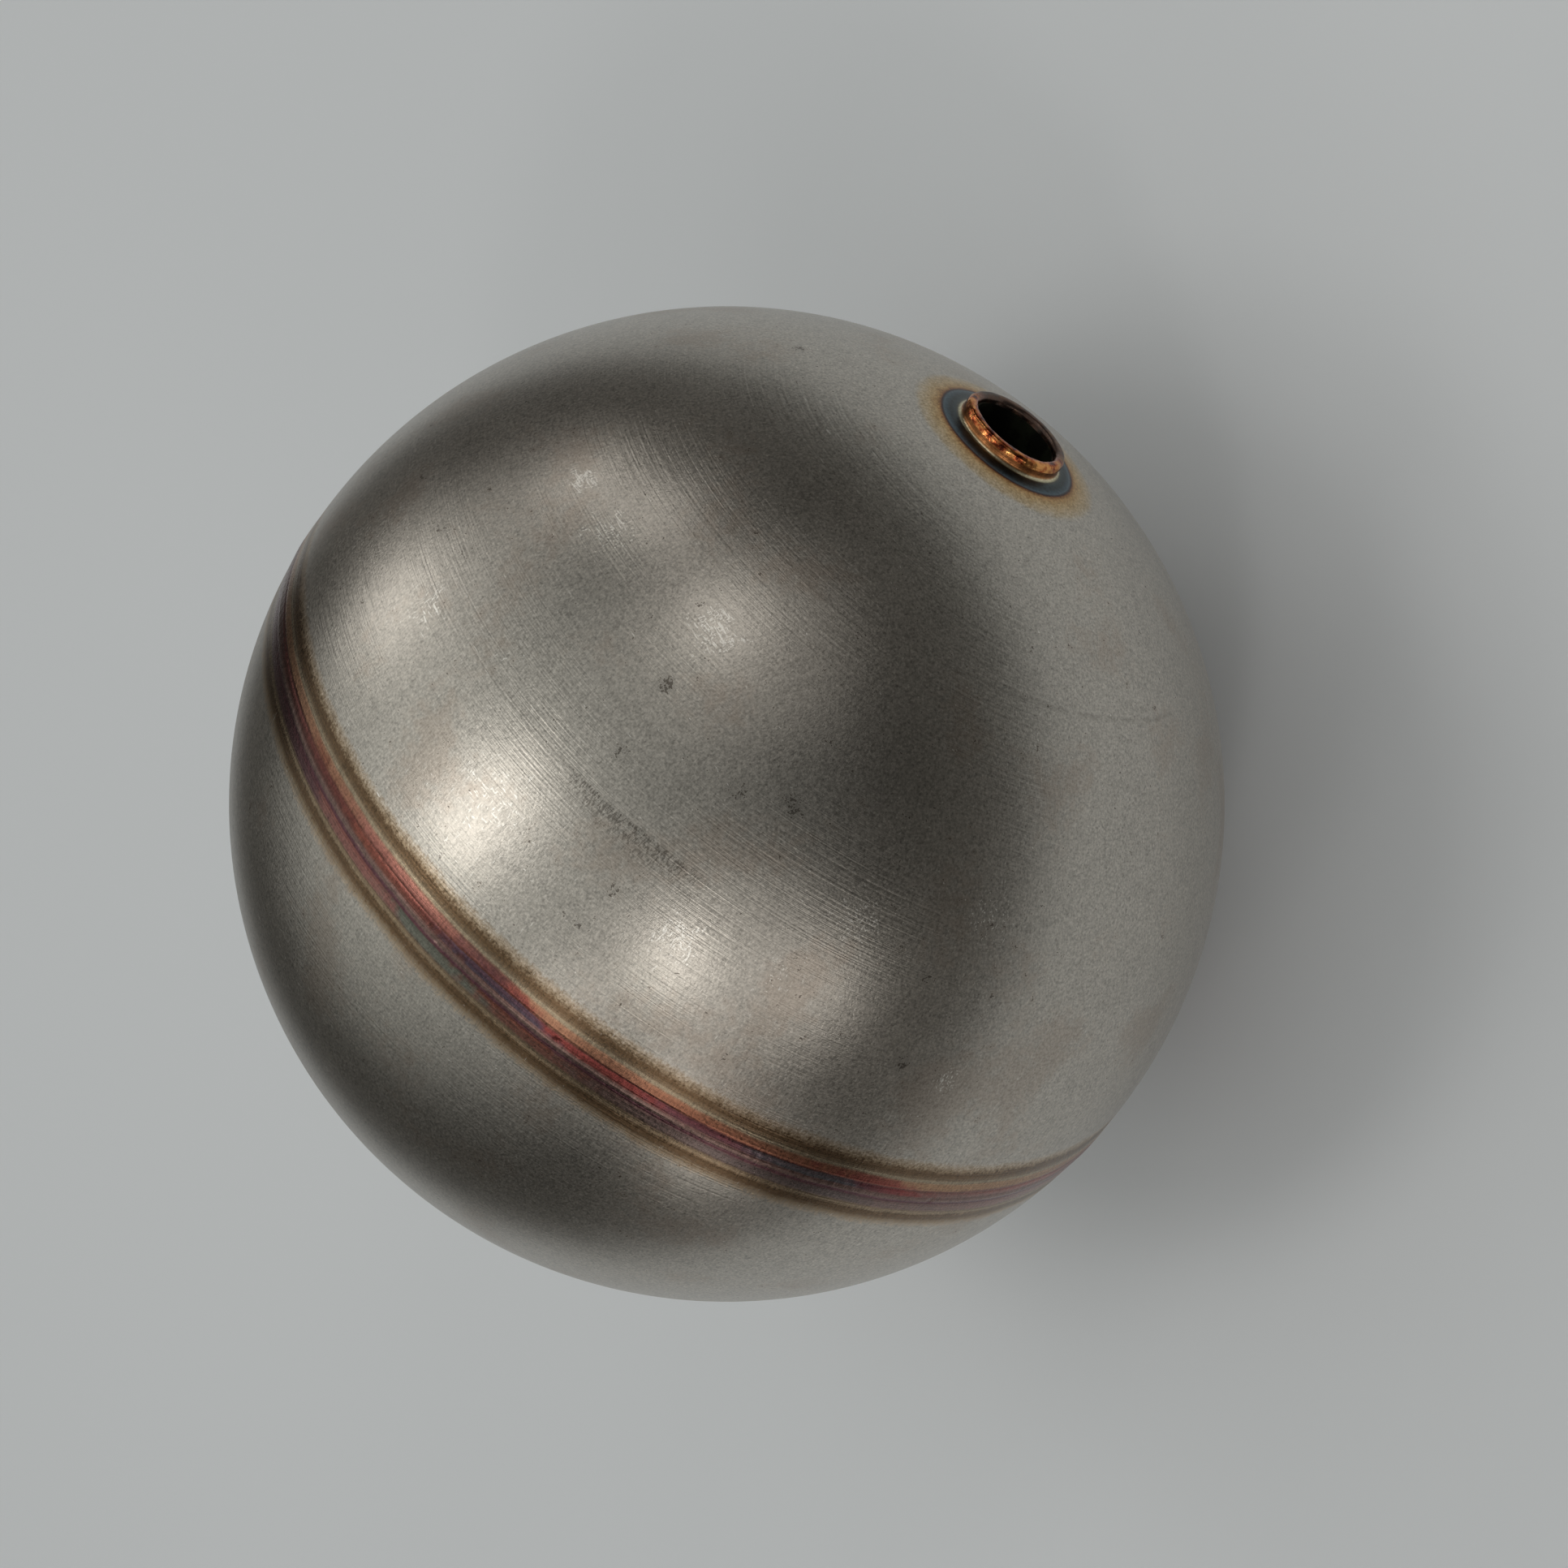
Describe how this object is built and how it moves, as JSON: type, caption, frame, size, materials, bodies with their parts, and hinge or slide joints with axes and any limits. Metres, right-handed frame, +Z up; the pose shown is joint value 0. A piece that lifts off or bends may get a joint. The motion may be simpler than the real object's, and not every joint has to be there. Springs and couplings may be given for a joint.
{
  "type": "float ball",
  "caption": "Hollow stainless steel float ball made of welded half shells, with a blind welded socket for a float rod.",
  "frame": {"origin": "centre of the ball; the bounding box's centre lies 0.6 mm from it along +X, because only the socket's neck and weld stand proud of the ball", "axes": "+X along the rod socket, out of its mouth, and square to the plane of the seam weld; +Z up. The ball is round about X, so its turn about X is free"},
  "size_m": [0.1012, 0.1006, 0.1006],
  "materials": {
    "shell_steel": "satin stainless steel with fine grain, light scratches and heat tint beside the welds",
    "tinted_weld": "weld bead with gold, red, purple and blue-grey heat tint",
    "socket_steel": "dark oxidised bore",
    "copper_tinted_weld": "glossy bead with copper and straw heat tint"
  },
  "bodies": {
    "root": {"socket_side_shell": "shell_steel", "plain_shell": "shell_steel", "seam_weld": "tinted_weld", "rod_socket": "socket_steel", "socket_weld": "copper_tinted_weld"}
  },
  "joints": []
}
